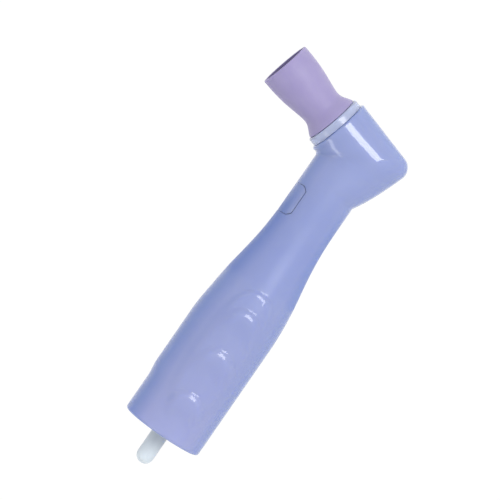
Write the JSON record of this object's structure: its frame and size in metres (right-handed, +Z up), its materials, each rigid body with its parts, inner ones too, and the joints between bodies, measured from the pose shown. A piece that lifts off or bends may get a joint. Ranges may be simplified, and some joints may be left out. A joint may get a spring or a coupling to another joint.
{
  "type": "prophy angle",
  "caption": "Disposable contra prophy angle with a translucent blue body and a turning violet rubber cup for polishing teeth.",
  "frame": {"origin": "on the table, under the middle of the whole angle as it lies on its side", "axes": "+X along the handle from its open rear rim towards the head, +Y the side the cup leans out to, +Z up from the table; the handle slopes 4 degrees down to the head, because it lies on a grip bump and on the narrower head"},
  "size_m": [0.056, 0.022, 0.0132],
  "materials": {
    "body_plastic": "translucent periwinkle blue, smooth satin gloss",
    "bushing_plastic": "translucent periwinkle blue, smooth satin gloss",
    "shank_plastic": "natural uncoloured plastic, milky",
    "gear_plastic": "natural white gear plastic",
    "washer_plastic": "natural white",
    "cap_plastic": "clear with a pale blue cast",
    "seal_rubber": "soft grey",
    "cup_rubber": "soft violet rubber, fine matte skin"
  },
  "bodies": {
    "body": {"housing": "body_plastic", "shaft_bushing": "bushing_plastic", "thrust_washer": "washer_plastic", "head_cap": "cap_plastic", "seal_ring": "seal_rubber"},
    "drive": {"drive_shaft": "shank_plastic"},
    "cup": {"rotor": "gear_plastic", "prophy_cup": "cup_rubber"}
  },
  "joints": [
    {"name": "cup_spin", "type": "hinge", "parent": "body", "child": "cup", "pos_m": [0.02107, -0.00382, 0.00427], "axis": [0.2496, 0.9683, 0.0043], "continuous": true},
    {"name": "drive_spin", "type": "hinge", "parent": "body", "child": "drive", "pos_m": [-0.02322, -0.00382, 0.0074], "axis": [0.9975, 0, -0.0703], "continuous": true}
  ],
  "couplings": [
    {"joint": "drive_spin", "follows": "cup_spin", "ratio": 1.5}
  ]
}
